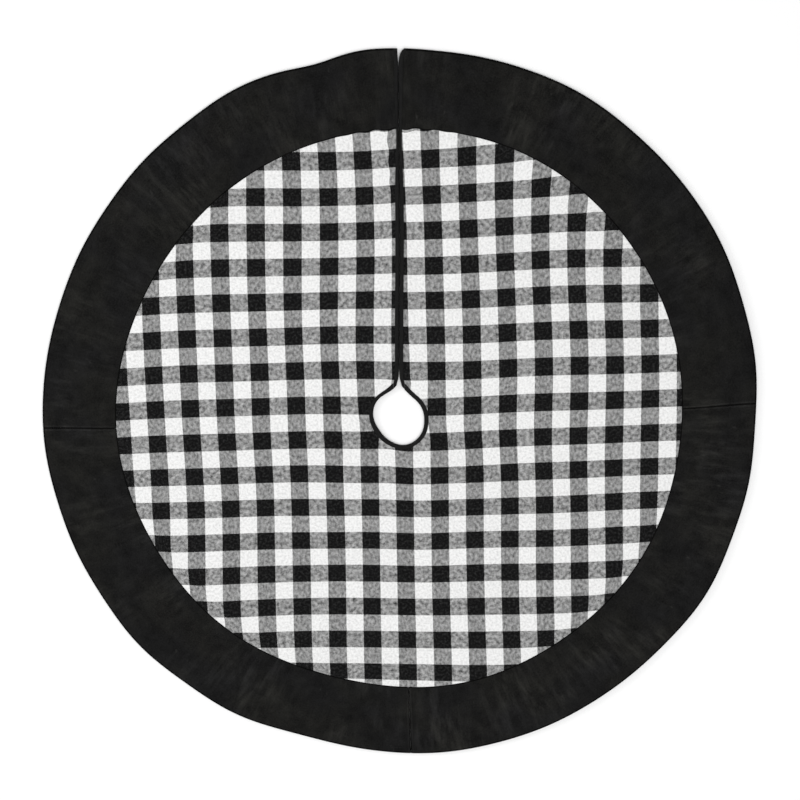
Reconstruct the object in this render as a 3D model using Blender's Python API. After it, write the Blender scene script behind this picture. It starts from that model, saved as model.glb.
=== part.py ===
"""Round tree skirt: a checked cloth disc in a black border, open along one slit and round the trunk hole.

The skirt lies flat on the floor at z = 0. The slit runs from the trunk hole out along +Y.
Four cloths lie on each other: a felt backing, a thin wadding, the checked top and the border, which
is four panels that turn under the rim. A folded strip binds the trunk hole and each edge of the slit.
Both sides of the slit fold back about a radial line, and three hook tabs swing out under the slit.
"""
import math

import bmesh
import bpy

# Overall sizes, in metres.
SKIRT_DIAMETER = 1.2192
BORDER_WIDTH = 0.127
HOLE_WIDTH = 0.090
SLIT_GAP = 0.001

# Half of the angle over which the trunk hole runs to a point at the slit.
HOLE_POINT_ANGLE = math.radians(39)
# Angle between the slit and the line each side folds back on.
FOLD_ANGLE = math.radians(28)
# How far round the border's own seams sit from the skirt's two axes.
BORDER_TURN = math.radians(2)

# Cloth thicknesses.
CLOTH = 0.0009
BACKING = 0.0022
WADDING = 0.0018
WADDING_UNDER_SEAM = 0.0006

# Seams and turned edges.
BINDING_WIDTH = 0.0072
HEM_WIDTH = 0.011
SEAM_LAP = 0.012

# Hook tabs and the loop patches that they close on.
TAB_COUNT = 3
FIRST_CLOSURE = 0.200
LAST_CLOSURE_FROM_RIM = 0.090
TAB_LENGTH = 0.045
TAB_WIDTH = 0.025
TAB_THICKNESS = 0.0012
TAB_CORNER = 0.005
PATCH_LENGTH = 0.025
PATCH_CORNER = 0.002

# Clearances: between cloths, round the rim's turn, and over a side that is folded back.
GAP = 0.0003
RIM_GAP = 0.0006
FOLD_CLEARANCE = 0.0033

# Angle between neighbouring points along a curved edge.
FACET = math.radians(3)

RIM = SKIRT_DIAMETER / 2
SEAM = RIM - BORDER_WIDTH
HOLE = HOLE_WIDTH / 2
SLIT = math.radians(90)

# Heights of the layers, from the floor up.
WADDING_BOTTOM = BACKING + GAP
WADDING_TOP = WADDING_BOTTOM + WADDING
TOP_BOTTOM = WADDING_TOP + GAP
TOP_SURFACE = TOP_BOTTOM + CLOTH
BINDING_BOTTOM = TOP_SURFACE + GAP
BINDING_TOP = BINDING_BOTTOM + CLOTH
TURN_HEIGHT = CLOTH + GAP
SEAM_WADDING_TOP = WADDING_BOTTOM + WADDING_UNDER_SEAM
SEAM_TOP_BOTTOM = TOP_BOTTOM - CLOTH - GAP
FOLD_HEIGHT = BINDING_TOP + FOLD_CLEARANCE

# Distance from the slit's middle to the bound cloths, and to the far edge of a binding.
SLIT_BINDING_FACE = SLIT_GAP / 2
SLIT_CLOTH_EDGE = SLIT_BINDING_FACE + CLOTH + GAP
SLIT_BINDING_END = SLIT_BINDING_FACE + BINDING_WIDTH
HOLE_CLOTH_EDGE = HOLE + CLOTH + GAP
HOLE_BINDING_END = HOLE + BINDING_WIDTH

BLACK_CLOTH = ("black_cloth", (0.012, 0.012, 0.012), 0.92)
CHECKED_CLOTH = ("checked_cloth", (0.30, 0.30, 0.30), 0.90)
BINDING_CLOTH = ("binding_cloth", (0.010, 0.010, 0.010), 0.75)
FELT = ("grey_felt", (0.09, 0.09, 0.095), 0.98)
FIBRE = ("white_wadding", (0.80, 0.80, 0.78), 0.95)
HOOK_TAPE = ("hook_tape", (0.015, 0.015, 0.015), 0.60)
LOOP_TAPE = ("loop_tape", (0.020, 0.020, 0.020), 0.95)


def clear_scene():
    """Remove what the file opened with."""
    for item in list(bpy.data.objects):
        bpy.data.objects.remove(item, do_unlink=True)


def material(look):
    """The material of one cloth, made the first time it is asked for."""
    name, colour, roughness = look
    if name in bpy.data.materials:
        return bpy.data.materials[name]
    made = bpy.data.materials.new(name)
    made.use_nodes = True
    shader = made.node_tree.nodes["Principled BSDF"]
    shader.inputs["Base Color"].default_value = (*colour, 1.0)
    shader.inputs["Roughness"].default_value = roughness
    shader.inputs["Metallic"].default_value = 0.0
    return made


def add_empty(name, place):
    """An empty on a joint's line, which the pieces that turn there hang on."""
    made = bpy.data.objects.new(name, None)
    made.location = place
    bpy.context.scene.collection.objects.link(made)
    return made


def hang(piece, joint):
    """Parent a piece to its joint's empty, and leave it where it lies."""
    piece.location = piece.location - joint.location
    piece.parent = joint


def add_object(name, mesh_builder, look):
    """Turn a bmesh into a named object with outward faces and one material."""
    bmesh.ops.recalc_face_normals(mesh_builder, faces=mesh_builder.faces)
    mesh = bpy.data.meshes.new(name)
    mesh_builder.to_mesh(mesh)
    mesh_builder.free()
    mesh.materials.append(material(look))
    made = bpy.data.objects.new(name, mesh)
    bpy.context.scene.collection.objects.link(made)
    return made


def prism(name, sections, look):
    """Join equal closed sections one after another, and close the first and the last."""
    builder = bmesh.new()
    rings = [[builder.verts.new(point) for point in section] for section in sections]
    count = len(rings[0])
    for near, far in zip(rings, rings[1:]):
        for i in range(count):
            j = (i + 1) % count
            builder.faces.new((near[i], near[j], far[j], far[i]))
    builder.faces.new(rings[0])
    builder.faces.new(rings[-1])
    return add_object(name, builder, look)


def hole_edge(theta, radius):
    """Distance from the centre to a line that runs parallel to the trunk hole's edge."""
    away = abs((theta - SLIT + math.pi) % math.tau - math.pi)
    return radius / math.cos(max(0.0, HOLE_POINT_ANGLE - away))


def edge_angle(angle, offset, radius, along_hole):
    """Angle of the point at a radius on a cut that runs beside a radial line."""
    distance = radius
    theta = angle
    for _ in range(6):
        if along_hole:
            distance = hole_edge(theta, radius)
        theta = angle + math.asin(offset / distance)
    return theta


def swept(name, profile, start, end, look):
    """Sweep a profile of (radius, height, along_hole) round the centre, between two straight cuts.

    Each cut is an angle and how far the piece stops short of the radial line at that angle.
    """
    steps = math.ceil((end[0] - start[0]) / FACET)
    sections = []
    for step in range(steps + 1):
        share = step / steps
        section = []
        for radius, height, along_hole in profile:
            first = edge_angle(start[0], start[1], radius, along_hole)
            last = edge_angle(end[0], -end[1], radius, along_hole)
            theta = first + (last - first) * share
            distance = hole_edge(theta, radius) if along_hole else radius
            section.append((distance * math.cos(theta), distance * math.sin(theta), height))
        sections.append(section)
    return prism(name, sections, look)


def box_cutter(name, low, high):
    """A box that cuts room out of a cloth and isn't part of the skirt."""
    builder = bmesh.new()
    bmesh.ops.create_cube(builder, size=1.0)
    for vert in builder.verts:
        for axis in range(3):
            vert.co[axis] = high[axis] if vert.co[axis] > 0 else low[axis]
    made = add_object(name, builder, FELT)
    made.hide_render = True
    made.display_type = "WIRE"
    return made


def cut(piece, cutter):
    """Take a cutter's room out of a piece."""
    modifier = piece.modifiers.new(cutter.name, "BOOLEAN")
    modifier.operation = "DIFFERENCE"
    modifier.object = cutter


def mirrored_box(name, side, low, high):
    """A box cutter on one side of the slit: side is -1 on the left and 1 on the right."""
    xs = sorted((side * low[0], side * high[0]))
    return box_cutter(name, (xs[0], low[1], low[2]), (xs[1], high[1], high[2]))


# The cloths are cut along the two fold lines, so that each side of the slit can fold back.
SECTORS = {
    "main": ((SLIT + FOLD_ANGLE, GAP), (SLIT - FOLD_ANGLE + math.tau, GAP)),
    "left_side": ((SLIT, SLIT_CLOTH_EDGE), (SLIT + FOLD_ANGLE, GAP)),
    "right_side": ((SLIT - FOLD_ANGLE, GAP), (SLIT, SLIT_CLOTH_EDGE)),
}


def backing(sector):
    """Felt on the floor, thinner where the rim's hem and the hole's binding turn under it."""
    profile = [
        (HOLE_CLOTH_EDGE, TURN_HEIGHT, True),
        (HOLE_BINDING_END + GAP, TURN_HEIGHT, True),
        (HOLE_BINDING_END + GAP, 0.0, True),
        (RIM - HEM_WIDTH - GAP, 0.0, False),
        (RIM - HEM_WIDTH - GAP, TURN_HEIGHT, False),
        (RIM - CLOTH - RIM_GAP, TURN_HEIGHT, False),
        (RIM - CLOTH - RIM_GAP, BACKING, False),
        (HOLE_CLOTH_EDGE, BACKING, True),
    ]
    return swept(f"backing_{sector}", profile, *SECTORS[sector], FELT)


def wadding(sector):
    """Thin wadding between backing and top, pressed flat where the border is sewn on."""
    profile = [
        (HOLE_CLOTH_EDGE, WADDING_BOTTOM, True),
        (RIM - CLOTH - RIM_GAP, WADDING_BOTTOM, False),
        (RIM - CLOTH - RIM_GAP, WADDING_TOP, False),
        (SEAM + SEAM_LAP + 2 * GAP, WADDING_TOP, False),
        (SEAM + SEAM_LAP + 2 * GAP, SEAM_WADDING_TOP, False),
        (SEAM - CLOTH - 2 * GAP, SEAM_WADDING_TOP, False),
        (SEAM - CLOTH - 2 * GAP, WADDING_TOP, False),
        (HOLE_CLOTH_EDGE, WADDING_TOP, True),
    ]
    return swept(f"wadding_{sector}", profile, *SECTORS[sector], FIBRE)


def checked_top(sector):
    """Checked cloth, whose margin steps down to run under the border."""
    profile = [
        (HOLE_CLOTH_EDGE, TOP_BOTTOM, True),
        (SEAM - GAP - CLOTH, TOP_BOTTOM, False),
        (SEAM - GAP - CLOTH, SEAM_TOP_BOTTOM, False),
        (SEAM + SEAM_LAP, SEAM_TOP_BOTTOM, False),
        (SEAM + SEAM_LAP, SEAM_TOP_BOTTOM + CLOTH, False),
        (SEAM - GAP, SEAM_TOP_BOTTOM + CLOTH, False),
        (SEAM - GAP, TOP_SURFACE, False),
        (HOLE_CLOTH_EDGE, TOP_SURFACE, True),
    ]
    return swept(f"checked_top_{sector}", profile, *SECTORS[sector], CHECKED_CLOTH)


def border_panel(name, start, end):
    """One length of border: it lies on top, turns down round the rim and under as the hem."""
    profile = [
        (SEAM, TOP_SURFACE, False),
        (SEAM, TOP_BOTTOM, False),
        (RIM - CLOTH, TOP_BOTTOM, False),
        (RIM - CLOTH, CLOTH, False),
        (RIM - HEM_WIDTH, CLOTH, False),
        (RIM - HEM_WIDTH, 0.0, False),
        (RIM, 0.0, False),
        (RIM, TOP_SURFACE, False),
    ]
    return swept(f"border_{name}", profile, start, end, BLACK_CLOTH)


def hole_binding(sector):
    """Folded strip round the trunk hole's edge, over the top, round the edge and under."""
    start, end = SECTORS[sector]
    if sector == "left_side":
        start = (SLIT, SLIT_BINDING_END + GAP)
    if sector == "right_side":
        end = (SLIT, SLIT_BINDING_END + GAP)
    profile = [
        (HOLE, 0.0, True),
        (HOLE_BINDING_END, 0.0, True),
        (HOLE_BINDING_END, CLOTH, True),
        (HOLE + CLOTH, CLOTH, True),
        (HOLE + CLOTH, BINDING_BOTTOM, True),
        (HOLE_BINDING_END, BINDING_BOTTOM, True),
        (HOLE_BINDING_END, BINDING_TOP, True),
        (HOLE, BINDING_TOP, True),
    ]
    return swept(f"hole_binding_{sector}", profile, start, end, BINDING_CLOTH)


def slit_binding(name, side):
    """Folded strip along one edge of the slit, from the trunk hole's edge to the rim."""
    profile = [
        (SLIT_BINDING_FACE, 0.0),
        (SLIT_BINDING_END, 0.0),
        (SLIT_BINDING_END, CLOTH),
        (SLIT_BINDING_FACE + CLOTH, CLOTH),
        (SLIT_BINDING_FACE + CLOTH, BINDING_BOTTOM),
        (SLIT_BINDING_END, BINDING_BOTTOM),
        (SLIT_BINDING_END, BINDING_TOP),
        (SLIT_BINDING_FACE, BINDING_TOP),
    ]
    at_hole = []
    at_rim = []
    for x, z in profile:
        hole_y = (HOLE - x * math.sin(HOLE_POINT_ANGLE)) / math.cos(HOLE_POINT_ANGLE)
        rim_y = math.sqrt(RIM ** 2 - x ** 2)
        at_hole.append((side * x, hole_y, z))
        at_rim.append((side * x, rim_y, z))
    return prism(f"slit_binding_{name}", [at_hole, at_rim], BINDING_CLOTH)


def slit_channel(name, side):
    """Room under the cloths for the slit binding's lower half."""
    low = (-GAP, 0.0, -CLOTH)
    high = (SLIT_BINDING_END + GAP, RIM + HEM_WIDTH, TURN_HEIGHT)
    return mirrored_box(f"channel_{name}", side, low, high)


def closure_places():
    """Distances of the closures from the skirt's centre, evenly spaced along the slit."""
    spacing = (RIM - LAST_CLOSURE_FROM_RIM - FIRST_CLOSURE) / (TAB_COUNT - 1)
    return [FIRST_CLOSURE + spacing * i for i in range(TAB_COUNT)]


# The tabs are sewn on just clear of the slit binding, and the patches start as far from the slit.
TAB_SEAM = SLIT_BINDING_END + 4 * GAP
TAB_AXIS_HEIGHT = -GAP / 2


def rounded_tape(name, length, width, corner, look):
    """A flat piece of tape from x = 0 to its length, with its four corners rounded."""
    builder = bmesh.new()
    bmesh.ops.create_cube(builder, size=1.0)
    for vert in builder.verts:
        vert.co.x = length if vert.co.x > 0 else 0.0
        vert.co.y *= width
        vert.co.z = TAB_THICKNESS if vert.co.z > 0 else 0.0
    upright = [edge for edge in builder.edges if abs(edge.verts[0].co.z - edge.verts[1].co.z) > 0]
    bmesh.ops.bevel(builder, geom=upright, offset=corner, segments=4, affect="EDGES", profile=0.5)
    return add_object(name, builder, look)


def hook_tab(number, place, backing_piece):
    """A hook tab, folded back in its own room under the left side, hung on its sewn end."""
    hinge = add_empty(f"tab_hinge_{number}", (-TAB_SEAM, place, TAB_AXIS_HEIGHT))
    tab = rounded_tape(f"hook_tab_{number}", TAB_LENGTH, TAB_WIDTH, TAB_CORNER, HOOK_TAPE)
    for vert in tab.data.vertices:
        vert.co.x = vert.co.x - TAB_LENGTH
        vert.co.z = vert.co.z - TAB_AXIS_HEIGHT
    tab.parent = hinge
    low = (TAB_SEAM - GAP, place - TAB_WIDTH / 2 - GAP, -CLOTH)
    high = (TAB_SEAM + TAB_LENGTH + GAP, place + TAB_WIDTH / 2 + GAP, TAB_THICKNESS + GAP)
    cut(backing_piece, mirrored_box(f"tab_room_{number}", -1, low, high))
    return hinge


def loop_patch(number, place, backing_piece):
    """A loop patch, sewn into the backing of the right side, level with its underside."""
    patch = rounded_tape(f"loop_patch_{number}", PATCH_LENGTH, TAB_WIDTH, PATCH_CORNER, LOOP_TAPE)
    patch.location = (TAB_SEAM, place, 0.0)
    low = (TAB_SEAM - GAP, place - TAB_WIDTH / 2 - GAP, -CLOTH)
    high = (TAB_SEAM + PATCH_LENGTH + GAP, place + TAB_WIDTH / 2 + GAP, TAB_THICKNESS + GAP)
    cut(backing_piece, mirrored_box(f"patch_room_{number}", 1, low, high))
    return patch


def build():
    """Make every piece of the skirt."""
    clear_scene()
    layers = {}
    for sector in SECTORS:
        layers[sector] = [backing(sector), wadding(sector), checked_top(sector), hole_binding(sector)]

    left_fold = SLIT + FOLD_ANGLE
    right_fold = SLIT - FOLD_ANGLE
    seams = [BORDER_TURN + quarter * math.radians(90) for quarter in range(5)]
    border_panel("upper_left", (left_fold, GAP), (seams[2], GAP / 2))
    border_panel("lower_left", (seams[2], GAP / 2), (seams[3], GAP / 2))
    border_panel("lower_right", (seams[3], GAP / 2), (seams[4], GAP / 2))
    border_panel("upper_right", (seams[0], GAP / 2), (right_fold, GAP))

    for name, side in (("left", -1), ("right", 1)):
        sector = f"{name}_side"
        backing_piece = layers[sector][0]
        border_end = border_panel(sector, *SECTORS[sector])
        channel = slit_channel(name, side)
        cut(backing_piece, channel)
        cut(border_end, channel)
        pieces = [*layers[sector], border_end, slit_binding(name, side)]
        for number, place in enumerate(closure_places(), start=1):
            closure = hook_tab if side < 0 else loop_patch
            pieces.append(closure(number, place, backing_piece))
        fold = add_empty(f"{name}_fold_line", (0.0, 0.0, FOLD_HEIGHT))
        for piece in pieces:
            hang(piece, fold)


build()
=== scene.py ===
import math

import bmesh
import bpy
import numpy as np
from mathutils import Matrix, Vector


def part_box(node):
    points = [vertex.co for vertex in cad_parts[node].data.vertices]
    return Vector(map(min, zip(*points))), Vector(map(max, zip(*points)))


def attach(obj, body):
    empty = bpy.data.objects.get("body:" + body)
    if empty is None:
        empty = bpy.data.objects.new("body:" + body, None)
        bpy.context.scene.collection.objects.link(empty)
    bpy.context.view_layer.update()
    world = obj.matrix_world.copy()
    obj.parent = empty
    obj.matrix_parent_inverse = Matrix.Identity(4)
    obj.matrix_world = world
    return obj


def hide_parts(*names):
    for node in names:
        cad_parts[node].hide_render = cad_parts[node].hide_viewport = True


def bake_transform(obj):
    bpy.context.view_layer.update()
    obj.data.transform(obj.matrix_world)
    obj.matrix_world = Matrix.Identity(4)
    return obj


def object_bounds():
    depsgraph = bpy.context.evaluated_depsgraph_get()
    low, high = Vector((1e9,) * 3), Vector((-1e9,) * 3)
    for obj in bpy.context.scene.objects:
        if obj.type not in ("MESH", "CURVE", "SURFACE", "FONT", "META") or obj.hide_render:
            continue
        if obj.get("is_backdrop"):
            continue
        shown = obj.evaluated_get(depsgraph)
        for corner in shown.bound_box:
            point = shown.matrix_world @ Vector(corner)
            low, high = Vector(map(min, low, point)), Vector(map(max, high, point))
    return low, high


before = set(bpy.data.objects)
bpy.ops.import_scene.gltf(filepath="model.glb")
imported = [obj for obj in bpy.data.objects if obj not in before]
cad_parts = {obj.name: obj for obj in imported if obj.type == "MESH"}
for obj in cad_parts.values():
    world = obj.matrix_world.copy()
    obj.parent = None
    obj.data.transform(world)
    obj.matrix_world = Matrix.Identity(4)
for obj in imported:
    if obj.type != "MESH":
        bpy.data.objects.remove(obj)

cad_low, cad_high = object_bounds()

# ----------------------------------------------------------
# The room: a plain pale floor, a white surround, one broad light overhead and one low window
# light that rakes over the cloth. The camera stands over the slit's side and looks down.
# ----------------------------------------------------------
scene = bpy.context.scene
scene.view_settings.view_transform = "Standard"

LOOKED_AT = Vector((0.0016, 0.0264, 0.0))
CAMERA_DISTANCE = 2.61
CAMERA_TILT = math.radians(9.5)
camera_data = bpy.data.cameras.new("camera")
camera_data.lens = 68.9
camera = bpy.data.objects.new("camera", camera_data)
scene.collection.objects.link(camera)
toward_camera = Vector((0.0, math.sin(CAMERA_TILT), math.cos(CAMERA_TILT)))
camera.location = LOOKED_AT + CAMERA_DISTANCE * toward_camera
camera.rotation_euler = (-CAMERA_TILT, 0.0, 0.0)
scene.camera = camera

surround = bpy.data.worlds.new("surround")
surround.use_nodes = True
surround.node_tree.nodes["Background"].inputs["Color"].default_value = (1.0, 1.0, 1.0, 1.0)
surround.node_tree.nodes["Background"].inputs["Strength"].default_value = 0.568
scene.world = surround

for light_name, place, size, power in (
    ("overhead_light", (0.4, -0.3, 3.2), 3.0, 56.5),
    ("window_light", (-2.5, 0.7, 1.2), 0.9, 24.0),
):
    light_data = bpy.data.lights.new(light_name, "AREA")
    light_data.size = size
    light_data.energy = power
    light = bpy.data.objects.new(light_name, light_data)
    light.location = place
    light.rotation_euler = (-Vector(place)).to_track_quat("-Z", "Y").to_euler()
    scene.collection.objects.link(light)


def plain_material(name, colour, roughness):
    """A material with its shader, ready for its own nodes."""
    made = bpy.data.materials.new(name)
    made.use_nodes = True
    shader = made.node_tree.nodes["Principled BSDF"]
    shader.inputs["Base Color"].default_value = (*colour, 1.0)
    shader.inputs["Roughness"].default_value = roughness
    return made, made.node_tree, shader


floor_mesh = bmesh.new()
bmesh.ops.create_circle(floor_mesh, cap_ends=True, radius=9.0, segments=96)
floor_data = bpy.data.meshes.new("floor")
floor_mesh.to_mesh(floor_data)
floor_mesh.free()
floor = bpy.data.objects.new("floor", floor_data)
floor_data.transform(Matrix.Translation((0.0, 0.0, -0.0005)))
floor_data.materials.append(plain_material("white_floor", (0.975, 0.975, 0.975), 0.9)[0])
scene.collection.objects.link(floor)
floor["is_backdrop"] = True

# ----------------------------------------------------------
# The checked top: one disc of brushed cotton, woven in black and white bands both ways, so that
# it shows black, white and two greys. It is slit once and laid over wadding; its margin runs
# under the border. It is made in three pieces that meet on the two lines the sides fold on.
# ----------------------------------------------------------
RIM = cad_high.y
BORDER_WIDTH = 0.127
SEAM = RIM - BORDER_WIDTH
SEAM_LAP = 0.012
HOLE = 0.045
HOLE_POINT_ANGLE = math.radians(39)
SLIT = math.radians(90)
FOLD_ANGLE = math.radians(28)
BORDER_TURN = math.radians(2)
CLOTH = 0.0007
CLOTH_EDGE = 0.0017
TOP_HEIGHT = 0.0055
FACET = math.radians(0.75)

LEFT_FOLD = SLIT + FOLD_ANGLE
RIGHT_FOLD = SLIT - FOLD_ANGLE
SECTORS = {
    "skirt": ((LEFT_FOLD, 0.0), (RIGHT_FOLD + math.tau, 0.0)),
    "left_side": ((SLIT, CLOTH_EDGE), (LEFT_FOLD, 0.0)),
    "right_side": ((RIGHT_FOLD, 0.0), (SLIT, CLOTH_EDGE)),
}

# How far the rim, the trunk hole, the seam and the border's edge wander from true: waves round
# them, each with its number, its size and the place of a peak in degrees.
RIM_WAVES = ((1, 0.0044, 18), (3, 0.0039, -45), (4, 0.0017, 38), (7, 0.0015, 23), (8, 0.0008, 11))
HOLE_WAVES = ((0, -0.0009, 0), (2, 0.0034, -53), (3, 0.0012, 33))
SEAM_WAVES = ((0, -0.0006, 0), (1, 0.0018, 68), (2, 0.0009, 60), (3, 0.0013, 45), (4, 0.0011, -2),
              (6, 0.0008, -7))
EDGE_WAVES = ((1, 0.0013, -46), (6, 0.0009, -14), (12, 0.0007, 2), (14, 0.0005, -12), (17, 0.0006, 10),
              (20, 0.0005, 7))


# Sizes of what moves the cloth: each scales one wave, bump, shift or run of puckers in its lie.
GATHER = 0.0016
EDGE_DENT = 0.0052
SETTLED = 0.0045
NOTCH_RIGHT = 0.0095
NOTCH_LEFT = 0.0018
NECK = 0.0036
SLOW_WAVE = 0.0006
BORDER_RISE = 0.0011
TOP_RISE = 0.0009
PUCKER = 0.00055
STREAK = 0.00035
SEAM_DIP = 0.0011


def eased(share):
    """0 to 1 with a soft start and end."""
    share = np.clip(share, 0.0, 1.0)
    return share * share * (3.0 - 2.0 * share)


def bump(value, centre, width):
    """A soft bump, 1 at its centre."""
    return np.exp(-(((value - centre) / width) ** 2))


def waves_round(theta, waves):
    """The sum of a few waves round the skirt."""
    return sum(size * np.cos(count * (theta - math.radians(peak))) for count, size, peak in waves)


def outward_shift(radius, theta):
    """How far out a point has strayed along its radius."""
    from_slit = np.abs(theta - SLIT)
    by_hole = np.exp(-np.maximum(radius - HOLE, 0.0) / 0.03)
    by_seam = eased((radius - SEAM + 0.032) / 0.030) * (1.0 - eased((radius - SEAM) / 0.09))
    gathers = GATHER * np.sin(theta * 92.0 + 0.6) * bump(radius, SEAM, 0.02) * bump(from_slit, 0.0, 0.15)
    edge = waves_round(theta, EDGE_WAVES) - EDGE_DENT * bump(theta, math.radians(103), 0.08)
    outward = waves_round(theta, RIM_WAVES) * radius / RIM
    outward = outward + waves_round(theta, HOLE_WAVES) * by_hole
    outward = outward + waves_round(theta, SEAM_WAVES) * by_seam
    return outward + gathers + edge * eased((radius - SEAM) / BORDER_WIDTH)


def sideways_shift(x, y):
    """The slit's two edges part into a notch at the rim and into a short neck at the trunk hole."""
    to_rim = RIM - y
    sway = 0.0012 * bump(y, 0.30, 0.09) - 0.0010 * eased((y - 0.45) / 0.1)
    right = sway + NOTCH_RIGHT * np.exp(-to_rim / 0.0068)
    left = sway - NOTCH_LEFT * eased(1.0 - to_rim / 0.032)
    parted = np.where(x > 0, right, left) * np.exp(-np.abs(x) / 0.045) * eased((y - 0.05) / 0.03)
    neck = NECK * bump(y, 0.0585, 0.0070) + 0.0008 * bump(y, 0.070, 0.009)
    return parted + np.sign(x) * neck * np.exp(-np.abs(x) / 0.022)


def surface_relief(x, y, radius, theta):
    """How far the cloths' upper side is raised by its filling and puckers, or drawn down by seams."""
    from_slit = np.abs(theta - SLIT)
    in_border = eased((radius - SEAM) / 0.010) * eased((RIM - radius) / 0.010)
    in_top = eased((SEAM - 0.001 - radius) / 0.014) * eased((radius - HOLE - 0.006) / 0.02)
    filling = BORDER_RISE * in_border + TOP_RISE * in_top
    ripple = np.sin(61 * theta + 1.0) + 0.8 * np.sin(97 * theta + 2.3) + 0.6 * np.sin(143 * theta + 0.5)
    pull = 0.45 + 0.9 * bump(theta, SLIT, 0.16) + 0.9 * bump(theta, -SLIT, 0.20)
    pull = pull + 0.35 * np.sin(5 * theta + 1.3) * np.sin(3 * theta)
    outside_seam = np.exp(-(radius - SEAM) / 0.045)
    inside_seam = 0.5 * np.exp((radius - SEAM) / 0.02)
    near_seam = np.where(radius > SEAM, outside_seam, inside_seam)
    near_rim = 0.5 * np.exp((radius - RIM) / 0.022)
    puckers = PUCKER * ripple * pull * (near_seam + near_rim) * (in_border + 0.7 * in_top)
    streaks = STREAK * np.sin(x / 0.0021 + 2.0 * np.sin(y / 0.03)) * bump(x, 0.0, 0.06)
    puckers = puckers + streaks * in_border * (theta > 0)
    # Beside a seam between two panels the cloth dips to the stitching.
    seam_turn = (theta - BORDER_TURN + math.pi / 4) % (math.pi / 2) - math.pi / 4
    dip = SEAM_DIP * bump(radius * seam_turn, 0.0, 0.0025) * (radius > SEAM) * (from_slit > 0.5)
    return filling + puckers - dip


def lie(places):
    """Where points of the flat skirt come to lie once it is spread out on the floor by hand."""
    x, y, z = np.asarray(places, float).reshape(-1, 3).T
    radius = np.hypot(x, y)
    theta = np.arctan2(y, x)
    outward = outward_shift(radius, theta)
    settled = SETTLED * (1.0 - eased((radius - SEAM) / BORDER_WIDTH))
    side = sideways_shift(x, y)
    # Slow waves lift the whole skirt; puckers and the filling lift only what lies near the top.
    slow = SLOW_WAVE * (1.2 + np.sin(9.0 * x + 5.0 * y + 0.7) + 0.6 * np.sin(-6.0 * x + 13.0 * y + 2.0))
    slow = slow * eased((radius - 0.08) / 0.2)
    share = np.clip(z / TOP_HEIGHT, 0.0, 1.0) ** 2
    lift = slow + share * surface_relief(x, y, radius, theta)
    moved_x = x + outward * np.cos(theta) + side
    moved_y = y + outward * np.sin(theta) - settled
    return np.stack([moved_x, moved_y, z + lift], axis=1)


def hole_edge(theta, radius):
    """Distance from the centre to a line that runs parallel to the trunk hole's edge."""
    away = np.abs((theta - SLIT + math.pi) % math.tau - math.pi)
    return radius / np.cos(np.maximum(0.0, HOLE_POINT_ANGLE - away))


def cut_angle(angle, offset, radius, along_hole):
    """Angle of the point at a radius on a cut that runs beside a radial line."""
    theta = angle
    for _ in range(6):
        distance = hole_edge(theta, radius) if along_hole else radius
        theta = angle + math.asin(offset / distance)
    return theta


def ribbon(path, thickness):
    """The closed outline of a cloth of that thickness whose middle follows a path."""
    path = np.asarray(path, float)
    runs = np.gradient(path, axis=0)
    runs = runs / np.linalg.norm(runs, axis=1, keepdims=True)
    across = np.stack([-runs[:, 1], runs[:, 0]], axis=1) * thickness / 2
    return np.concatenate([path + across, (path - across)[::-1]])


def finish_mesh(name, builder, uv_of, material, lies=lie):
    """Make a piece from a closed bmesh: outward faces, its cloth map, its lie and its material."""
    bmesh.ops.recalc_face_normals(builder, faces=builder.faces)
    mesh = bpy.data.meshes.new(name)
    builder.to_mesh(mesh)
    builder.free()
    count = len(mesh.vertices)
    places = np.empty(count * 3)
    mesh.vertices.foreach_get("co", places)
    places = places.reshape(-1, 3)
    corners = np.empty(len(mesh.loops), dtype=np.int32)
    mesh.loops.foreach_get("vertex_index", corners)
    flat = mesh.uv_layers.new(name="flat")
    flat.data.foreach_set("uv", uv_of(places)[corners].ravel())
    mesh.vertices.foreach_set("co", lies(places).ravel())
    mesh.materials.append(material)
    mesh.shade_smooth()
    mesh.set_sharp_from_angle(angle=math.radians(50))
    mesh.update()
    made = bpy.data.objects.new(name, mesh)
    scene.collection.objects.link(made)
    return made


def close_rings(builder, rings):
    """Join rings of corners into a closed skin, with a face across the first and the last."""
    for near, far in zip(rings, rings[1:]):
        for i in range(len(near)):
            j = (i + 1) % len(near)
            builder.faces.new((near[i], near[j], far[j], far[i]))
    builder.faces.new(rings[0])
    builder.faces.new(rings[-1])


def swept(name, profile, start, end, material, uv_of, along_hole=0, facet=FACET, lies=lie):
    """Sweep a closed profile of (radius, height) round the centre between two straight cuts.

    along_hole is the radius inside which a point keeps its distance to the trunk hole's edge.
    """
    span = end[0] - start[0]
    crowded = span < math.radians(120)
    steps = math.ceil(span / facet * (math.pi / 2 if crowded else 1.0))
    shares = np.linspace(0.0, 1.0, steps + 1)
    if crowded:
        shares = 0.5 - 0.5 * np.cos(math.pi * shares)
    builder = bmesh.new()
    rings = []
    limits = []
    for radius, _ in profile:
        by_hole = radius < along_hole
        first = cut_angle(start[0], start[1], radius, by_hole)
        last = cut_angle(end[0], -end[1], radius, by_hole)
        limits.append((first, last))
    for share in shares:
        ring = []
        for (radius, height), (first, last) in zip(profile, limits):
            theta = first + (last - first) * share
            distance = radius
            if radius < along_hole:
                blend_out = float(eased((radius - HOLE - 0.02) / (along_hole - HOLE - 0.02)))
                distance = float(hole_edge(theta, radius)) * (1 - blend_out) + radius * blend_out
            ring.append(builder.verts.new((distance * math.cos(theta), distance * math.sin(theta), height)))
        rings.append(ring)
    close_rings(builder, rings)
    return finish_mesh(name, builder, uv_of, material, lies)


def sides_ride(piece, body):
    """A piece of the skirt proper is hung on the skirt's body; a piece of a side stays where it is, its place
    baked into its mesh.
    """
    if body == "skirt":
        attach(piece, "skirt")
        return
    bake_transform(piece)


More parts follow.
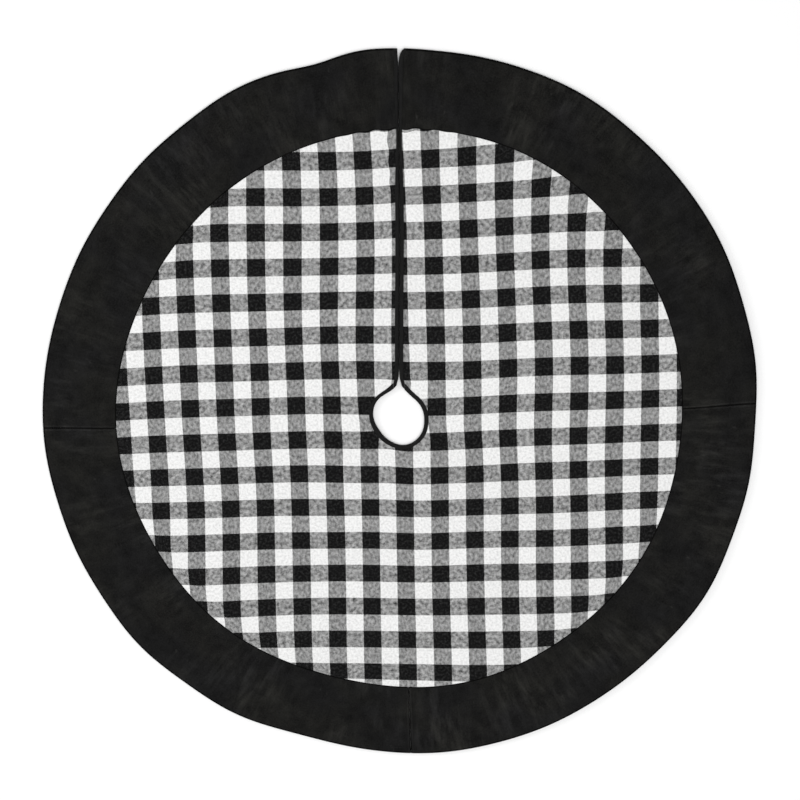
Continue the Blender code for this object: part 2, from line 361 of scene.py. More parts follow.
def cad_name(body):
    """How a CAD node's name ends for a body: the skirt proper is the main part of each cloth."""
    return "main" if body == "skirt" else body


def flat_xy(places):
    """A cloth map that reads its place on the floor, in metres."""
    return places[:, :2].copy()


def node(tree, kind, inputs=(), **settings):
    """Add a shader or geometry node: settings are its options, inputs its values or links."""
    made = tree.nodes.new(kind)
    for option, value in settings.items():
        setattr(made, option, value)
    for key, value in dict(inputs).items():
        socket = made.inputs[key]
        if isinstance(value, bpy.types.NodeSocket):
            tree.links.new(value, socket)
        else:
            socket.default_value = value
    return made


def calc(tree, operation, first, second=0.0, third=0.0):
    """One sum on two or three values."""
    made = node(tree, "ShaderNodeMath", {0: first, 1: second, 2: third}, operation=operation)
    return made.outputs[0]


def noise(tree, place, scale, detail=2.0, roughness=0.5):
    """A noise value over a place."""
    inputs = {"Vector": place, "Scale": scale, "Detail": detail, "Roughness": roughness}
    return node(tree, "ShaderNodeTexNoise", inputs).outputs["Fac"]


def drawn_out(tree, place, across, along, turn=0.0):
    """A place scaled by its own amount each way, so that a noise over it gets a grain."""
    inputs = {"Vector": place, "Rotation": (0.0, 0.0, turn), "Scale": (across, along, 1.0)}
    return node(tree, "ShaderNodeMapping", inputs).outputs[0]


def mix_colours(tree, share, first, second, way="MIX"):
    """A share of the second colour laid over the first or, with MULTIPLY, multiplied into it."""
    inputs = {0: share, 6: first, 7: second}
    return node(tree, "ShaderNodeMix", inputs, data_type="RGBA", blend_type=way).outputs[2]


def cloth_place(tree):
    """The place on the flat cloth, in metres, and its two distances."""
    place = node(tree, "ShaderNodeUVMap", uv_map="flat").outputs["UV"]
    parts = node(tree, "ShaderNodeSeparateXYZ", {0: place})
    return place, parts.outputs["X"], parts.outputs["Y"]


def threads(tree, x, y, pitch):
    """Height of a plain weave, from 0 to 1, with one thread of each kind every pitch."""
    across = calc(tree, "SINE", calc(tree, "MULTIPLY", x, math.pi / pitch))
    along = calc(tree, "SINE", calc(tree, "MULTIPLY", y, math.pi / pitch))
    return calc(tree, "MULTIPLY_ADD", calc(tree, "MULTIPLY", across, along), 0.5, 0.5)


def raised(tree, shader, height, depth, strength=1.0):
    """Let a height, in units of depth, show as relief."""
    relief = node(tree, "ShaderNodeBump", {"Height": height, "Distance": depth, "Strength": strength})
    tree.links.new(relief.outputs["Normal"], shader.inputs["Normal"])


# Bands of the check, woven 33 to the metre both ways. Sewing and spreading have put slow waves in
# them: how far a wave moves a band, in bands, how fast it runs across and along, in radians a
# metre, and its start.
CHECKS_PER_METRE = 33.4
WHITE_SHARE = 0.492
THREAD_PITCH = 0.0006
WAVES_ACROSS = ((0.054, 8, 12, 1.79), (0.046, -2, 12, -0.83), (0.041, 10, 4, -1.44), (0.025, 12, 16, -0.81))
WAVES_ALONG = ((0.075, -10, 0, 2.27), (0.049, 0, 14, 1.90), (0.041, -8, 8, 2.86), (0.037, -20, 6, 2.39))


def check_map(places):
    """How many bands across and along the woven cloth each point lies, as it was sewn askew."""
    x, y = places[:, 0], places[:, 1]
    across = 5.323 + 33.292 * x + 0.763 * y
    along = -0.297 - 0.705 * x + 33.543 * y
    for size, turns_x, turns_y, begin in WAVES_ACROSS:
        across = across + size * np.sin(turns_x * x + turns_y * y + begin)
    for size, turns_x, turns_y, begin in WAVES_ALONG:
        along = along + size * np.sin(turns_x * x + turns_y * y + begin)
    beside_slit = np.exp(-np.abs(x) / 0.08) * eased((y - 0.08) / 0.2)
    across = across + np.where(x > 0, 0.082 + 1.1 * x, -0.057 + 2.8 * x) * beside_slit
    along = along + np.where(x > 0, 0.179 + 3.5 * x, 0.050 - 3.2 * x) * beside_slit
    # Left of the slit the cloth has been drawn up, so that its bands waver.
    across = across + 0.055 * np.sin(y / 0.0056) * bump(x, -0.026, 0.014) * eased((y - 0.34) / 0.05)
    return np.stack([across, along], axis=1) / CHECKS_PER_METRE


checked_cloth, tree, shader = plain_material("checked_cloth", (0.5, 0.5, 0.5), 0.92)
place, x, y = cloth_place(tree)
wander = calc(tree, "MULTIPLY_ADD", noise(tree, place, 620.0, 1.0), 0.0016, -0.0008)
across = calc(tree, "MULTIPLY", calc(tree, "ADD", x, wander), CHECKS_PER_METRE / 2)
along = calc(tree, "MULTIPLY", calc(tree, "ADD", y, wander), CHECKS_PER_METRE / 2)
white_warp = calc(tree, "LESS_THAN", calc(tree, "FRACT", across), WHITE_SHARE)
white_weft = calc(tree, "GREATER_THAN", calc(tree, "FRACT", along), 1.0 - WHITE_SHARE)
mottle = noise(tree, place, 155.0, 3.0, 0.55)
flecks = noise(tree, drawn_out(tree, place, 215.0, 155.0), 1.0, 2.0)
weave = threads(tree, x, y, THREAD_PITCH)
yarns = calc(tree, "MULTIPLY_ADD", weave, 0.44, -0.22)
dark_weft_grey = calc(tree, "MULTIPLY_ADD", mottle, 1.22, calc(tree, "SUBTRACT", yarns, 0.28))
white_weft_grey = calc(tree, "MULTIPLY_ADD", flecks, 0.86, calc(tree, "SUBTRACT", yarns, 0.115))
no_warp = calc(tree, "SUBTRACT", 1.0, white_warp)
no_weft = calc(tree, "SUBTRACT", 1.0, white_weft)
under_black = calc(tree, "MULTIPLY", calc(tree, "MULTIPLY", white_warp, no_weft), dark_weft_grey)
under_white = calc(tree, "MULTIPLY", calc(tree, "MULTIPLY", no_warp, white_weft), white_weft_grey)
share = calc(tree, "ADD", calc(tree, "MULTIPLY", white_warp, white_weft), under_black)
share = calc(tree, "ADD", share, under_white)
specks = calc(tree, "MULTIPLY_ADD", noise(tree, place, 230.0, 3.0, 0.7), 0.125, -0.0585)
share = calc(tree, "MINIMUM", calc(tree, "MAXIMUM", share, calc(tree, "MAXIMUM", specks, 0.0)), 1.0)
# Painted shade: the weave is darker between its threads; soft clouds and a fine grain of random tone vary it
# further.
painted_shade_and_grain = calc(tree, "MULTIPLY_ADD", weave, 0.14, 0.93)
cloudy = calc(tree, "MULTIPLY_ADD", noise(tree, place, 14.0, 3.0), 0.12, 0.94)
grain = calc(tree, "MULTIPLY_ADD", noise(tree, place, 240.0, 3.0, 0.7), 1.0, 0.50)
painted_shade_and_grain = calc(tree, "MINIMUM", calc(tree, "MULTIPLY", calc(tree, "MULTIPLY", painted_shade_and_grain, cloudy), grain), 1.10)
dyed = mix_colours(tree, share, (0.0015, 0.0015, 0.0016, 1.0), (0.795, 0.795, 0.79, 1.0))
tree.links.new(mix_colours(tree, 1.0, dyed, painted_shade_and_grain, "MULTIPLY"), shader.inputs["Base Color"])
shader.inputs["Sheen Weight"].default_value = 0.02
shader.inputs["Sheen Roughness"].default_value = 0.6
shader.inputs["Specular IOR Level"].default_value = 0.12
nap = calc(tree, "ADD", calc(tree, "MULTIPLY", weave, 0.5), noise(tree, place, 1500.0, 3.0))
raised(tree, shader, nap, 0.00022, 0.6)

# Outwards to this radius the rings pass from the trunk hole's drop shape into circles.
ROUND_FROM = 0.16
along_top = [*np.arange(HOLE + 0.0015, SEAM - 0.02, 0.0065), *np.arange(SEAM - 0.02, SEAM + 0.0005, 0.0025)]
under_border = [SEAM + 0.002, SEAM + 0.006, SEAM + SEAM_LAP]
top_path = [(r, TOP_HEIGHT - CLOTH / 2) for r in along_top] + [(r, 0.0041) for r in under_border]
top_profile = ribbon(top_path, CLOTH)
for body, (start, end) in SECTORS.items():
    piece = swept(f"checked_cloth_{body}", top_profile, start, end, checked_cloth, check_map,
                  along_hole=ROUND_FROM)
    sides_ride(piece, body)
    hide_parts(f"checked_top_{cad_name(body)}")

# ----------------------------------------------------------
# The wadding: white bonded fibre between the top and the backing, caught in every seam. It
# shows nowhere while the skirt is whole, and fills the fold when a side is turned back.
# ----------------------------------------------------------
def dye_between(tree, shader, value, low, high, low_at=0.0, high_at=1.0):
    """Colour a material from a low to a high colour as a value passes between two marks."""
    ramp = node(tree, "ShaderNodeValToRGB", {"Fac": value})
    for index, (colour, position) in enumerate(((low, low_at), (high, high_at))):
        ramp.color_ramp.elements[index].position = position
        ramp.color_ramp.elements[index].color = (*colour, 1.0)
    tree.links.new(ramp.outputs["Color"], shader.inputs["Base Color"])
    return ramp.outputs["Color"]


fibre, tree, shader = plain_material("white_fibre", (0.82, 0.82, 0.80), 0.95)
tufts = noise(tree, cloth_place(tree)[0], 260.0, 5.0, 0.7)
dye_between(tree, shader, tufts, (0.62, 0.62, 0.60), (0.88, 0.88, 0.87))
raised(tree, shader, tufts, 0.001)

# The inner cloths stop short of the trunk hole's edge and of the rim.
INNER_START = HOLE + 0.0020
INNER_END = RIM - 0.006
WADDING = 0.0010
wadding_path = [(r, 0.0036) for r in np.arange(INNER_START, SEAM - 0.004, 0.012)]
wadding_path += [(r, 0.0029) for r in (SEAM + 0.001, SEAM + 0.010)]
wadding_path += [(r, 0.0034) for r in np.arange(SEAM + 0.020, INNER_END, 0.012)]
for body, (start, end) in SECTORS.items():
    piece = swept(f"fibre_{body}", ribbon(wadding_path, WADDING), start, end, fibre, flat_xy,
                  along_hole=ROUND_FROM, facet=2 * FACET)
    sides_ride(piece, body)
    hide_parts(f"wadding_{cad_name(body)}")

# ----------------------------------------------------------
# The border: four panels of matte black cloth sewn end to end. Each is folded under where it
# laps the checked top, lies over the wadding, and turns round the rim into a hem below.
# ----------------------------------------------------------
def between(tree, value, low, high):
    """How far a value has come from low to high, from 0 to 1."""
    return node(tree, "ShaderNodeMapRange", {0: value, 1: low, 2: high}).outputs[0]


def both(tree, first, second):
    """1 where two conditions hold."""
    return calc(tree, "MULTIPLY", first, second)


MIDDLE = SEAM + BORDER_WIDTH / 2
SLIT_CLEAR = 0.2
black_cloth, tree, shader = plain_material("black_cloth", (0.009, 0.009, 0.009), 0.88)
place, round_rim, out = cloth_place(tree)
# The black's own tone wanders in clouds and slubs; streaks along the brushed nap, in patches, are painted
# sheen, paler where the nap would catch the light.
brushed = between(tree, noise(tree, drawn_out(tree, place, 66.0, 15.0), 1.0, 4.0, 0.65), 0.45, 0.74)
sheen_patches = between(tree, noise(tree, place, 8.0, 3.0, 0.6), 0.42, 0.66)
clouds = noise(tree, place, 26.0, 8.0, 0.74)
slubs = noise(tree, place, 380.0, 3.0, 0.65)
weave = threads(tree, round_rim, out, 0.0007)
streaks = calc(tree, "MULTIPLY", brushed, sheen_patches)
depth = calc(tree, "ADD", calc(tree, "MULTIPLY", clouds, 0.60), calc(tree, "MULTIPLY", slubs, 0.45))
depth = calc(tree, "MULTIPLY_ADD", streaks, 0.42, depth)
mottle_and_sheen = dye_between(tree, shader, depth, (0.0012, 0.0012, 0.0012), (0.0210, 0.0210, 0.0202), 0.40, 0.86)

# Painted shade darkens the cloth where it turns under at the rim and at the inner fold and in the seams
# between panels, and a painted highlight makes it paler beside the seams; the same factor scales its sheen
# and specular. The slit, where the map begins, has no seam.
inside_rim = calc(tree, "LESS_THAN", out, RIM - 0.0034)
outside_fold = calc(tree, "GREATER_THAN", out, SEAM + 0.0018)
painted_light_at_edges = calc(tree, "MULTIPLY_ADD", both(tree, inside_rim, outside_fold), 0.65, 0.35)
along_panel = calc(tree, "SUBTRACT", round_rim, BORDER_TURN * MIDDLE)
from_seam = calc(tree, "PINGPONG", along_panel, MIDDLE * math.pi / 4)
off_slit = calc(tree, "GREATER_THAN", round_rim, SLIT_CLEAR)
at_seam = both(tree, calc(tree, "LESS_THAN", from_seam, 0.0014), off_slit)
by_seam = both(tree, calc(tree, "LESS_THAN", from_seam, 0.0044), off_slit)
painted_light_at_seams = calc(tree, "MULTIPLY_ADD", by_seam, 0.35, calc(tree, "MULTIPLY_ADD", at_seam, -0.95, 1.0))
painted_light_at_edges = calc(tree, "MULTIPLY", painted_light_at_edges, painted_light_at_seams)

# Large patches are bluer and darker or warmer and paler, and wisps of painted sheen show where the brushed-up
# nap would catch the light.
patchy = between(tree, noise(tree, place, 11.0, 2.0), 0.38, 0.60)
tint = mix_colours(tree, patchy, (0.83, 0.83, 0.87, 1.0), (1.08, 1.06, 0.98, 1.0))
tinted = mix_colours(tree, 1.0, mottle_and_sheen, tint, "MULTIPLY")
sheen_wisps = between(tree, noise(tree, drawn_out(tree, place, 90.0, 38.0, 0.5), 1.0, 4.0, 0.6), 0.66, 0.84)
with_sheen_wisps = mix_colours(tree, calc(tree, "MULTIPLY", sheen_wisps, 0.6), tinted, (0.045, 0.045, 0.041, 1.0))
# The colour is multiplied by the painted shade and highlight at the rim, the inner fold and the seams.
tree.links.new(mix_colours(tree, 1.0, with_sheen_wisps, painted_light_at_edges, "MULTIPLY"), shader.inputs["Base Color"])
tree.links.new(calc(tree, "MULTIPLY", painted_light_at_edges, 0.012), shader.inputs["Sheen Weight"])
shader.inputs["Sheen Roughness"].default_value = 0.5
tree.links.new(calc(tree, "MULTIPLY", painted_light_at_edges, 0.12), shader.inputs["Specular IOR Level"])
raised(tree, shader, calc(tree, "ADD", calc(tree, "MULTIPLY", weave, 0.5), slubs), 0.0003, 0.7)


def round_map(places):
    """A cloth map that runs round the rim, from the slit, and outwards."""
    from_slit = (np.arctan2(places[:, 1], places[:, 0]) - SLIT) % math.tau
    return np.stack([from_slit * MIDDLE, np.hypot(places[:, 0], places[:, 1])], axis=1)


def arc(centre, radius, first, last, count):
    """Points of an arc in a profile, its angles in degrees."""
    angles = np.radians(np.linspace(first, last, count))
    return [(centre[0] + radius * math.cos(a), centre[1] + radius * math.sin(a)) for a in angles]


# A cloth that passes over the slit strip's lower leg is lifted clear of it.
BINDING_WIDTH = 0.0072
UNDER_STRIP = 0.0008


def over_strip(places):
    """How far a low cloth is lifted where the slit's strips pass under it."""
    x, y, z = places.T
    beside = 1.0 - eased((np.abs(x) - BINDING_WIDTH - 0.0012) / 0.0022)
    return UNDER_STRIP * beside * (y > 0) * (z < 0.0022)


def hem_lies(places):
    """The lie of the border: its hem passes over the slit's strips."""
    laid = lie(places)
    laid[:, 2] += over_strip(places)
    return laid


HEM_WIDTH = 0.011
TURN = 0.0024
fold_in = [(SEAM + 0.010, 0.0047), (SEAM + 0.005, 0.0047), (SEAM + 0.0012, 0.0048)]
fold_in += arc((SEAM + 0.0006, 0.00525), 0.00042, 270, 90, 5)[1:]
flat_run = [(SEAM + 0.0022, 0.00562), (SEAM + 0.004, 0.0054)]
flat_run += [(r, 0.0052) for r in np.arange(SEAM + 0.007, RIM - 0.016, 0.0055)]
flat_run += [(RIM - 0.0125, 0.0051), (RIM - 0.0105, 0.0050), (RIM - 0.0080, 0.0051), (RIM - 0.0050, 0.0052)]
rim_turn = arc((RIM - TURN - CLOTH / 2, 0.0052 - TURN), TURN, 78, -78, 9)
hem = [(RIM - 0.0050, CLOTH / 2), (RIM - 0.0080, CLOTH / 2), (RIM - HEM_WIDTH, CLOTH / 2)]
border_profile = ribbon(fold_in + flat_run + rim_turn + hem, CLOTH)
SEAM_GAP = 0.0001
seams = [BORDER_TURN + quarter * math.radians(90) for quarter in range(5)]
for panel, body, start, end in (
    ("upper_left", "skirt", (LEFT_FOLD, 0.0), (seams[2], SEAM_GAP)),
    ("lower_left", "skirt", (seams[2], SEAM_GAP), (seams[3], SEAM_GAP)),
    ("lower_right", "skirt", (seams[3], SEAM_GAP), (seams[4], SEAM_GAP)),
    ("upper_right", "skirt", (seams[0], SEAM_GAP), (RIGHT_FOLD, 0.0)),
    ("left_side", "left_side", *SECTORS["left_side"]),
    ("right_side", "right_side", *SECTORS["right_side"]),
):
    piece = swept(f"black_border_{panel}", border_profile, start, end, black_cloth, round_map,
                  facet=math.radians(0.5), lies=hem_lies)
    sides_ride(piece, body)
    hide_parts(f"border_{panel}")

# ----------------------------------------------------------
# The backing: grey pressed felt on the floor, cut to the skirt's outline. The hem and the
# bindings turn over its edges, and the closures are sewn to it beside the slit.
# ----------------------------------------------------------
felt, tree, shader = plain_material("grey_felt", (0.09, 0.09, 0.095), 0.97)
place = cloth_place(tree)[0]
fibres = noise(tree, drawn_out(tree, place, 900.0, 260.0, 0.7), 1.0, 5.0, 0.65)
patches = calc(tree, "MULTIPLY", noise(tree, place, 60.0, 4.0), 0.4)
matted = calc(tree, "MULTIPLY_ADD", fibres, 0.6, patches)
dye_between(tree, shader, matted, (0.055, 0.055, 0.059), (0.135, 0.135, 0.140), 0.30, 0.72)
shader.inputs["Sheen Weight"].default_value = 0.1
raised(tree, shader, fibres, 0.0004, 0.8)

BACKING = 0.0012
TAPE_ROOM = 0.0014
CLOSURES = (1, 2, 3)
closure_boxes = [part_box(f"{kind}_{number}") for kind in ("hook_tab", "loop_patch") for number in CLOSURES]
felt_inner = HOLE + BINDING_WIDTH + 0.004
felt_outer = RIM - HEM_WIDTH - 0.004
OVER_TURNINGS = 0.0014
backing_path = [(r, OVER_TURNINGS) for r in (INNER_START, HOLE + BINDING_WIDTH)]
backing_path += [(r, BACKING / 2) for r in np.arange(felt_inner, felt_outer, 0.005)]
backing_path += [(r, OVER_TURNINGS) for r in (RIM - HEM_WIDTH, INNER_END)]


def felt_lies(places):
    """The lie of the backing: it is pressed up over the strips and over the closures."""
    laid = lie(places)
    x, y = places[:, 0], places[:, 1]
    lift = over_strip(places)
    for low, high in closure_boxes:
        along = eased((x - low.x + 0.0045) / 0.0035) * eased((high.x + 0.0045 - x) / 0.0035)
        across = eased((y - low.y + 0.0055) / 0.0045) * eased((high.y + 0.0055 - y) / 0.0045)
        lift = np.maximum(lift, TAPE_ROOM * along * across)
    laid[:, 2] += lift
    return laid


for body, (start, end) in SECTORS.items():
    felt_facet = 2 * FACET if body == "skirt" else FACET
    piece = swept(f"felt_{body}", ribbon(backing_path, BACKING), start, end, felt, flat_xy,
                  along_hole=ROUND_FROM, facet=felt_facet, lies=felt_lies)
    sides_ride(piece, body)
    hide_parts(f"backing_{cad_name(body)}")

# ----------------------------------------------------------
# The binding of the trunk hole: a strip of black cotton cut on the bias, folded over the edge
# of all the cloths and sewn down through them. It follows the hole's drop shape.
# ----------------------------------------------------------
bias_strip, tree, shader = plain_material("bias_strip", (0.010, 0.010, 0.010), 0.8)
place, x, y = cloth_place(tree)
diagonal = calc(tree, "SINE", calc(tree, "MULTIPLY", calc(tree, "ADD", x, y), math.pi / 0.0006))
blotchy = noise(tree, place, 190.0, 4.0, 0.6)
dye_between(tree, shader, blotchy, (0.0035, 0.0035, 0.0035), (0.0105, 0.0105, 0.0103), 0.30, 0.75)
shader.inputs["Sheen Weight"].default_value = 0.01
shader.inputs["Specular IOR Level"].default_value = 0.14
raised(tree, shader, calc(tree, "MULTIPLY_ADD", diagonal, 0.3, blotchy), 0.0003, 0.6)

STRIP_TOP = 0.0063
STRIP_HALF = (STRIP_TOP - CLOTH / 2) / 2
STRIP_MIDDLE = STRIP_TOP - STRIP_HALF


def folded_strip(edge):
    """The outline of a strip folded round an edge: over the cloths, round, and back under."""
    end = edge + BINDING_WIDTH - CLOTH / 2
    over = [(end, STRIP_TOP - 0.0004), (end - 0.0006, STRIP_TOP - 0.0001), (end - 0.0024, STRIP_TOP)]
    turned = arc((edge + STRIP_HALF + CLOTH / 2, STRIP_MIDDLE), STRIP_HALF, 90, 270, 11)
    under = [(end - 0.0024, CLOTH / 2), (end, CLOTH / 2)]
    return ribbon(over + turned + under, CLOTH)


def along_strip(places):
    """A cloth map that runs round the trunk hole."""
    theta = np.arctan2(places[:, 1], places[:, 0])
    return np.stack([theta * HOLE, np.hypot(places[:, 0], places[:, 1]) + places[:, 2]], axis=1)


STRIP_END = 0.0077
for body, (start, end) in SECTORS.items():
    if body == "left_side":
        start = (SLIT, STRIP_END)
    if body == "right_side":
        end = (SLIT, STRIP_END)
    piece = swept(f"hole_strip_{body}", folded_strip(HOLE), start, end, bias_strip, along_strip,
                  along_hole=0.10, facet=3 * FACET)
    sides_ride(piece, body)
    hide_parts(f"hole_binding_{cad_name(body)}")

# ----------------------------------------------------------
# The bindings of the slit: the same bias strip along each edge, from the trunk hole to the rim,
# folded over the border too. The two lie edge to edge and are not joined.
# ----------------------------------------------------------
SLIT_FACE = 0.0001

# The trunk hole's drop shape comes to its point, where the slit begins, this far from the centre.
FOLD_MIDDLE = SLIT_FACE + STRIP_HALF + CLOTH / 2
STRIP_STEPS = 240

# Over this length a strip's end is tucked in: its two legs draw together to a quarter.
TUCK = 0.003
TUCKED_SHARE = 0.25


def strip_reach(across, y):
    """Distance from the slit at which a point of a strip's upper leg lies: narrow near the border."""
    narrowed = 1.0 - 0.70 * bump(y, 0.474, 0.055)
    return np.where(across > FOLD_MIDDLE, FOLD_MIDDLE + (across - FOLD_MIDDLE) * narrowed, across)


tuck_shares = np.array([0.0, 0.0003, 0.0009, 0.0018]) / (RIM - HOLE)
run_shares = np.linspace(TUCK, RIM - HOLE - TUCK, STRIP_STEPS) / (RIM - HOLE)
strip_shares = [*tuck_shares, *run_shares, *(1.0 - tuck_shares[::-1])]
for body, turn in (("left_side", -1), ("right_side", 1)):
    outline = folded_strip(SLIT_FACE)
    builder = bmesh.new()
    rings = []
    for share in strip_shares:
        ring = []
        from_end = min(share, 1.0 - share) * (RIM - HOLE)
        opened = math.sqrt(1.0 - (1.0 - min(from_end / TUCK, 1.0)) ** 2)
        full = opened * (1.0 - TUCKED_SHARE) + TUCKED_SHARE
        for across, height in outline:
            at_hole = (HOLE - across * math.sin(HOLE_POINT_ANGLE)) / math.cos(HOLE_POINT_ANGLE)
            at_rim = math.sqrt(RIM ** 2 - across ** 2)
            y = at_hole + (at_rim - at_hole) * share
            reach = float(strip_reach(across, y)) if height > STRIP_HALF else across
            tucked = STRIP_MIDDLE + (height - STRIP_MIDDLE) * full
            ring.append(builder.verts.new((turn * reach, y, tucked)))
        rings.append(ring)
    close_rings(builder, rings)
    piece = finish_mesh(f"slit_strip_{body}", builder, flat_xy, bias_strip)
    sides_ride(piece, body)
    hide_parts("slit_binding_left" if turn < 0 else "slit_binding_right")

# ----------------------------------------------------------
# The stitching: black thread in rows of small even stitches, beside the border's inner fold, inside the rim
# above and on the hem below, along the open edge of the trunk hole's binding above, and along the slit's
# bindings above and below.
# ----------------------------------------------------------
thread, tree, shader = plain_material("black_thread", (0.008, 0.008, 0.008), 0.7)
twist = noise(tree, node(tree, "ShaderNodeTexCoord").outputs["Object"], 2600.0)
dye_between(tree, shader, twist, (0.004, 0.004, 0.004), (0.013, 0.013, 0.013))
shader.inputs["Specular IOR Level"].default_value = 0.15

STITCH = {"Stitch Length": 0.0029, "Stitch Spacing": 0.0040, "Thread Width": 0.0006}
stitching = bpy.data.node_groups.new("stitch_row", "GeometryNodeTree")
stitching.interface.new_socket("Row", in_out="INPUT", socket_type="NodeSocketGeometry")
for socket_name, value in STITCH.items():
    socket = stitching.interface.new_socket(socket_name, in_out="INPUT", socket_type="NodeSocketFloat")
    socket.default_value = value
stitching.interface.new_socket("Stitches", in_out="OUTPUT", socket_type="NodeSocketGeometry")
given = node(stitching, "NodeGroupInput")
row = node(stitching, "GeometryNodeMeshToCurve", {"Mesh": given.outputs["Row"]})
spacing = given.outputs["Stitch Spacing"]
marks = node(stitching, "GeometryNodeResampleCurve",
             {"Curve": row.outputs[0], "Length": spacing}, mode="LENGTH")
thick = given.outputs["Thread Width"]
size = node(stitching, "ShaderNodeCombineXYZ", {"X": thick, "Y": thick, "Z": given.outputs["Stitch Length"]})
grain = node(stitching, "GeometryNodeMeshUVSphere", {"Segments": 6, "Rings": 4, "Radius": 0.5})
direction = node(stitching, "GeometryNodeInputTangent")
turned = node(stitching, "FunctionNodeAlignRotationToVector", {"Vector": direction.outputs[0]}, axis="Z")
laid = node(stitching, "GeometryNodeInstanceOnPoints", {
    "Points": marks.outputs[0],
    "Instance": grain.outputs[0],
    "Rotation": turned.outputs[0],
    "Scale": size.outputs[0],
})
sewn = node(stitching, "GeometryNodeRealizeInstances", {0: laid.outputs[0]})
coloured = node(stitching, "GeometryNodeSetMaterial", {"Geometry": sewn.outputs[0], "Material": thread})
result = node(stitching, "NodeGroupOutput")
stitching.links.new(coloured.outputs[0], result.inputs[0])


def made_by_nodes(name, start_mesh, group, values):
    """Run a geometry node tree on a mesh and keep the result as a plain mesh."""
    holder = bpy.data.objects.new(name + "_holder", start_mesh)
    scene.collection.objects.link(holder)
    modifier = holder.modifiers.new(group.name, "NODES")
    modifier.node_group = group
    for item in group.interface.items_tree:
        if item.in_out == "INPUT" and item.name in values:
            modifier[item.identifier] = values[item.name]
    graph = bpy.context.evaluated_depsgraph_get()
    mesh = bpy.data.meshes.new_from_object(holder.evaluated_get(graph))
    mesh.name = name
    bpy.data.objects.remove(holder)
    made = bpy.data.objects.new(name, mesh)
    scene.collection.objects.link(made)
    return made


def stitch_row(name, places):
    """Sew one row along a line of places, with every stitch lying as the cloth under it does."""
    points = lie(places)
    mesh = bpy.data.meshes.new(name + "_line")
    mesh.from_pydata([tuple(p) for p in points], [(i, i + 1) for i in range(len(points) - 1)], [])
    row = made_by_nodes(name, mesh, stitching, STITCH)
    row.data.shade_smooth()
    return row


def ring_line(radius, height, start, end, by_hole=False, ends=0.002):
    """A line of places at one radius, or at one distance from the trunk hole's edge."""
    first = cut_angle(start[0], start[1] + ends, radius, by_hole)
    last = cut_angle(end[0], -end[1] - ends, radius, by_hole)
    theta = np.linspace(first, last, max(12, int((last - first) / math.radians(0.5))))
    distance = hole_edge(theta, radius) if by_hole else np.full_like(theta, radius)
    return np.stack([distance * np.cos(theta), distance * np.sin(theta), np.full_like(theta, height)], axis=1)


# A row runs this far inside a binding's open edge, just above the strip's upper leg.
ROW_INSET = 0.0013
ROW_HEIGHT = 0.0066
for body, (start, end) in SECTORS.items():
    start_clear = (start[0], STRIP_END if body == "left_side" else start[1])
    end_clear = (end[0], STRIP_END if body == "right_side" else end[1])
    hole_row = HOLE + BINDING_WIDTH - ROW_INSET
    for row_name, line in (
        ("seam", ring_line(SEAM + 0.0034, 0.0059, start_clear, end_clear)),
        ("rim", ring_line(RIM - 0.0105, 0.0053, start_clear, end_clear)),
        ("hem", ring_line(RIM - 0.0092, 0.0, start_clear, end_clear)),
        ("hole", ring_line(hole_row, ROW_HEIGHT, start_clear, end_clear, by_hole=True)),
    ):
        sides_ride(stitch_row(f"{row_name}_stitches_{body}", line), body)
ys = np.linspace(0.056, RIM - 0.002, 160)
for body, turn in (("left_side", -1), ("right_side", 1)):
    row_x = SLIT_FACE + BINDING_WIDTH - ROW_INSET
    for leg, xs, height in (("top", strip_reach(row_x, ys), ROW_HEIGHT), ("under", row_x + 0.0 * ys, 0.0)):
        line = np.stack([turn * xs, ys, np.full_like(ys, height)], axis=1)
        sides_ride(stitch_row(f"slit_stitches_{leg}_{body}", line), body)

# ----------------------------------------------------------
# The hook tabs: three short lengths of black woven tape with round ends, set with small moulded
# hooks. Each is box-stitched by one end beside the slit and lies folded back, hooks down.
# ----------------------------------------------------------
TAPE = 0.0006
TAPE_EDGE = 0.00012
TAB_CORNER = 0.005
SEWN_END = 0.008


def tape_material(name, colour, pale_colour, pitch, roughness):
    """Woven tape: fine cords across its width, a little paler on their crests in patches."""
    made, tree, shader = plain_material(name, colour, roughness)
    place, x, y = cloth_place(tree)
    cords = threads(tree, x, y, pitch)
    blotchy = calc(tree, "MULTIPLY", cords, noise(tree, place, 700.0, 3.0))
    paler_crests = mix_colours(tree, blotchy, (*colour, 1.0), (*pale_colour, 1.0))
    tree.links.new(paler_crests, shader.inputs["Base Color"])
    raised(tree, shader, cords, 0.00015, 0.7)
    return made


hook_tape = tape_material("hook_tape", (0.011, 0.011, 0.011), (0.040, 0.040, 0.040), 0.0007, 0.55)
hook_plastic, tree, shader = plain_material("hook_plastic", (0.014, 0.014, 0.014), 0.32)
worn_hook = noise(tree, node(tree, "ShaderNodeTexCoord").outputs["Object"], 900.0)
dye_between(tree, shader, worn_hook, (0.008, 0.008, 0.008), (0.032, 0.032, 0.032))


def tape_plate(name, box, corner, material):
    """A flat length of tape with round corners and soft edges, in the upper part of its box."""
    low, high = box
    builder = bmesh.new()
    rings = []
    bottom = high.z - TAPE
    for inset, height in (
        (TAPE_EDGE, bottom),
        (0.0, bottom + TAPE_EDGE),
        (0.0, high.z - TAPE_EDGE),
        (TAPE_EDGE, high.z),
    ):
        ring = []
        for x, y, first in (
            (high.x - corner, high.y - corner, 0),
            (low.x + corner, high.y - corner, 90),
            (low.x + corner, low.y + corner, 180),
            (high.x - corner, low.y + corner, 270),
        ):
            points = arc((x, y), corner - inset, first, first + 90, 7)
            ring += [builder.verts.new((*point, height)) for point in points]
        rings.append(ring)
    close_rings(builder, rings)
    return finish_mesh(name, builder, flat_xy, material)


